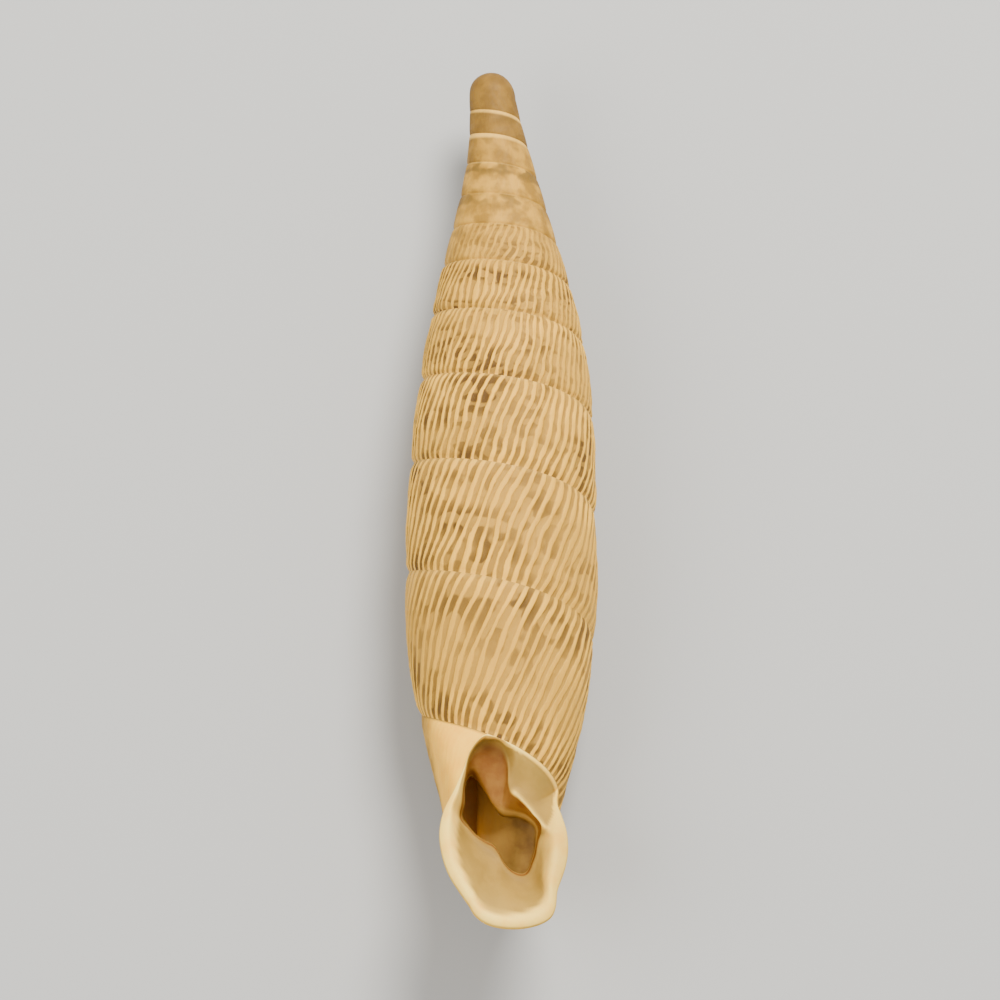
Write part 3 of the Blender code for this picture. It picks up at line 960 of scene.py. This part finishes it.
rib = eased((wave - edge + 0.2) / 0.4)
ground = blended(skin_tree, clouds, GAP_BROWN, GAP_TAN)
ground = blended(skin_tree, 0.75 * (1.0 - patch), ground, WORN_TAN)
crisp = (0.45 + 0.55 * patch) * (0.6 + 0.4 * eased((turn - 5.5) / 2.5))
ribs_colour = blended(skin_tree, rib * crisp, ground, RIB_CREAM)
print("nodes for the ribs:", len(skin_tree.nodes))

# %% The smooth first whorls
PLAIN_BROWN = (0.277, 0.147, 0.018)
PLAIN_TAN = (0.504, 0.277, 0.038)
TIP_BROWN = (0.16, 0.084, 0.013)
TIP_TAN = (0.227, 0.122, 0.019)
FIRST_WHORLS_END = 1.4
mottle = body_noise(skin_tree, 2600.0)
mottled = eased((mottle - 0.35) / 0.3)
plain = blended(skin_tree, mottled, PLAIN_BROWN, PLAIN_TAN)
first_whorls = blended(skin_tree, mottled, TIP_BROWN, TIP_TAN)
past_first = eased((turn - FIRST_WHORLS_END) / 1.4)
plain = blended(skin_tree, 1.0 - past_first, plain, first_whorls)
whorls = blended(skin_tree, ribbed, plain, ribs_colour)
print("nodes with the tip:", len(skin_tree.nodes))

# %% Smudges, dark flecks and pale seam lines
SMUDGE_BROWN = (0.143, 0.08, 0.013)
FLECK_BROWN = (0.092, 0.044, 0.008)
SEAM_CREAM = (0.722, 0.437, 0.092)
smudges = noise_of(skin_tree, turn * 9.0, share * 1.6, 1.0, 2.0, 31.0)
smudges = eased((smudges - 0.48) / 0.09) * hill(turn, 3.4, 1.8) * eased((0.60 - share) / 0.35)
whorls = blended(skin_tree, smudges * 0.85, whorls, SMUDGE_BROWN)
flecks = noise_of(skin_tree, rib_place * 0.5, share * 6.0, 1.0, 1.0, 41.0)
dark = eased((0.85 - wave) / 0.4) * blotches * eased((flecks - 0.46) / 0.07)
spotted = eased((turn - 4.4) / 1.6) * eased((10.9 - turn) / 0.6)
whorls = blended(skin_tree, dark * spotted * (0.5 + 0.5 * patch), whorls, FLECK_BROWN)
early = hill(turn, 1.75, 1.0)
seam_line = eased((0.05 + 0.19 * early - share) / (0.06 + 0.08 * early))
seam_line = seam_line * eased((10.4 - turn) / 0.2)
seam_line = seam_line * eased((turn - 0.75) / 0.4) * (0.5 + mottle)
whorls = blended(skin_tree, seam_line * (0.25 + 0.7 * early), whorls, SEAM_CREAM)
print("nodes with the marks:", len(skin_tree.nodes))

# %% The warm neck, and the brown throat with painted shade and light
NECK_TAN = (0.90, 0.45, 0.030)
NECK_CREAM = (0.98, 0.57, 0.055)
CALLUS = (0.554, 0.336, 0.067)
# each stop is a place on the way in: 0 is outside the mouth and 1 is deep inside the throat. The brown
# is the throat's own colour. The stops also paint shade, growing darker towards the hole, a painted
# highlight on the lower fold's edge, and painted light at the far end, bright orange as if shining
# through the thin wall
THROAT_STOPS_WITH_PAINTED_LIGHT = ((0.12, (0.353, 0.223, 0.04)), (0.30, (0.26, 0.155, 0.03)), (0.37, (0.193, 0.071, 0.011)),
                (0.48, (0.193, 0.073, 0.011)), (0.53, (0.386, 0.21, 0.038)), (0.60, (0.126, 0.06, 0.009)),
                (0.80, (0.109, 0.052, 0.008)), (0.92, (0.47, 0.26, 0.059)), (1.0, (0.823, 0.538, 0.168)))
neck_shade = 0.35 * ribbed * rib + 0.5 * eased((mottle - 0.3) / 0.4)
warm = blended(skin_tree, neck_shade, NECK_TAN, NECK_CREAM)
whorls = blended(skin_tree, neck, whorls, warm)
inside = skin_tree.nodes.new("ShaderNodeValToRGB")
joined(skin_tree, throat, inside.inputs[0])
stops = inside.color_ramp.elements
stops[0].position = THROAT_STOPS_WITH_PAINTED_LIGHT[0][0]
stops[0].color = (*THROAT_STOPS_WITH_PAINTED_LIGHT[0][1], 1.0)
stops[1].position = THROAT_STOPS_WITH_PAINTED_LIGHT[-1][0]
stops[1].color = (*THROAT_STOPS_WITH_PAINTED_LIGHT[-1][1], 1.0)
for position, tint in THROAT_STOPS_WITH_PAINTED_LIGHT[1:-1]:
    stops.new(position).color = (*tint, 1.0)
within = eased(throat / 0.10)
# the throat's brown, with its painted shade, painted highlight and painted light, covers the whorls inside
# the mouth
throat_colour_and_painted_light = blended(skin_tree, 0.15 * mottled, inside.outputs[0], CALLUS)
whorls = blended(skin_tree, within, whorls, throat_colour_and_painted_light)
print("the throat's colours change at", [round(stop.position, 2) for stop in stops])

# %% The lip
LIP_CREAM = (0.98, 0.66, 0.14)
LIP_STAIN = (0.96, 0.56, 0.09)
stained = eased((body_noise(skin_tree, 1500.0) - 0.42) / 0.25)
lip_colour = blended(skin_tree, stained, LIP_CREAM, LIP_STAIN)
colour = blended(skin_tree, lip, whorls, lip_colour)
skin_tree.links.new(colour, shader.inputs["Base Color"])
print("nodes with the lip:", len(skin_tree.nodes))

# %% Fine relief and uneven gloss
RELIEF_STRENGTH = 0.6
RELIEF_DEPTH = 0.03
growth_line = noise_of(skin_tree, turn * 210.0, share * 1.5, 1.0, 3.0, 17.0)
grain = body_noise(skin_tree, 9000.0)
relief = skin_tree.nodes.new("ShaderNodeBump")
relief.inputs["Strength"].default_value = RELIEF_STRENGTH
relief.inputs["Distance"].default_value = RELIEF_DEPTH * MM
rough_skin = 0.45 * grain + 0.5 * growth_line * (1.0 - within)
joined(skin_tree, (rib + 0.4 * streaks) * ribbed + rough_skin, relief.inputs["Height"])
skin_tree.links.new(relief.outputs["Normal"], shader.inputs["Normal"])
joined(skin_tree, 0.50 + 0.2 * streaks + 0.1 * (1.0 - rib), shader.inputs["Roughness"])
print("the shell's finish has", len(skin_tree.nodes), "nodes")

# %% [markdown]
# ## Table, light and camera
# The shell lies on a plain pale table. Two soft warm lamps and a pale warm sky light it evenly. The
# camera looks down on it from a little towards the mouth's end, with the tip at the top of the view. Its
# long lens makes near and far parts look almost equally large.

# %% The table
TABLE_HALF = 0.6
TABLE_GREY = (0.375, 0.39, 0.425)
table_corners = [(-TABLE_HALF, -TABLE_HALF, 0.0), (TABLE_HALF, -TABLE_HALF, 0.0),
                 (TABLE_HALF, TABLE_HALF, 0.0), (-TABLE_HALF, TABLE_HALF, 0.0)]
table_mesh = bpy.data.meshes.new("table")
table_mesh.from_pydata(table_corners, [], [(0, 1, 2, 3)])
table = bpy.data.objects.new("table", table_mesh)
bpy.context.scene.collection.objects.link(table)
table_paint = bpy.data.materials.new("table_paint")
table_paint.use_nodes = True
paint_shader = table_paint.node_tree.nodes["Principled BSDF"]
paint_shader.inputs["Base Color"].default_value = (*TABLE_GREY, 1.0)
paint_shader.inputs["Roughness"].default_value = 0.8
table_mesh.materials.append(table_paint)
print("the table is", 2.0 * TABLE_HALF, "m wide")

# %% The lamps and the sky
LAMP_COLOUR = (1.0, 0.94, 0.80)
LAMP_TARGET = (0.0, 0.0, 0.002)
SKY_COLOUR = (1.0, 0.96, 0.86)
SKY_STRENGTH = 0.93


def soft_lamp(name, place, size, power):
    lamp = bpy.data.lights.new(name, "AREA")
    lamp.shape = "DISK"
    lamp.size = size
    lamp.energy = power
    lamp.color = LAMP_COLOUR
    stand = bpy.data.objects.new(name, lamp)
    stand.location = place
    stand.rotation_euler = (Vector(LAMP_TARGET) - Vector(place)).to_track_quat("-Z", "Y").to_euler()
    bpy.context.scene.collection.objects.link(stand)
    print(name, "lamp:", size, "m across,", power, "watts")


soft_lamp("key", (0.03, 0.06, 0.10), 0.05, 0.325)
soft_lamp("fill", (-0.07, -0.03, 0.09), 0.08, 0.095)
sky = bpy.data.worlds.new("sky")
sky.use_nodes = True
backdrop = sky.node_tree.nodes["Background"]
backdrop.inputs["Color"].default_value = (*SKY_COLOUR, 1.0)
backdrop.inputs["Strength"].default_value = SKY_STRENGTH
bpy.context.scene.world = sky

# %% The camera
LENS = 600.0
FILM = 36.0
VIEW_TILT = 16.0
VIEW_HEIGHT = 0.02193
AIM_RIGHT = -0.02
AIM_DEPTH = 9.80
distance = VIEW_HEIGHT * LENS / FILM
tilt = math.radians(VIEW_TILT)
aim = Vector((AIM_RIGHT * MM, TIP_Y - AIM_DEPTH * MM, AXIS_Z))
back = Vector((0.0, -math.sin(tilt), math.cos(tilt)))
lens = bpy.data.cameras.new("camera")
lens.lens = LENS
lens.sensor_width = FILM
lens.clip_start = 0.001
lens.clip_end = 10.0
camera = bpy.data.objects.new("camera", lens)
camera.location = aim + back * distance
camera.rotation_euler = (-back).to_track_quat("-Z", "Y").to_euler()
bpy.context.scene.collection.objects.link(camera)
bpy.context.scene.camera = camera
print("camera", round(distance, 3), "m away, tilted by", VIEW_TILT, "degrees")
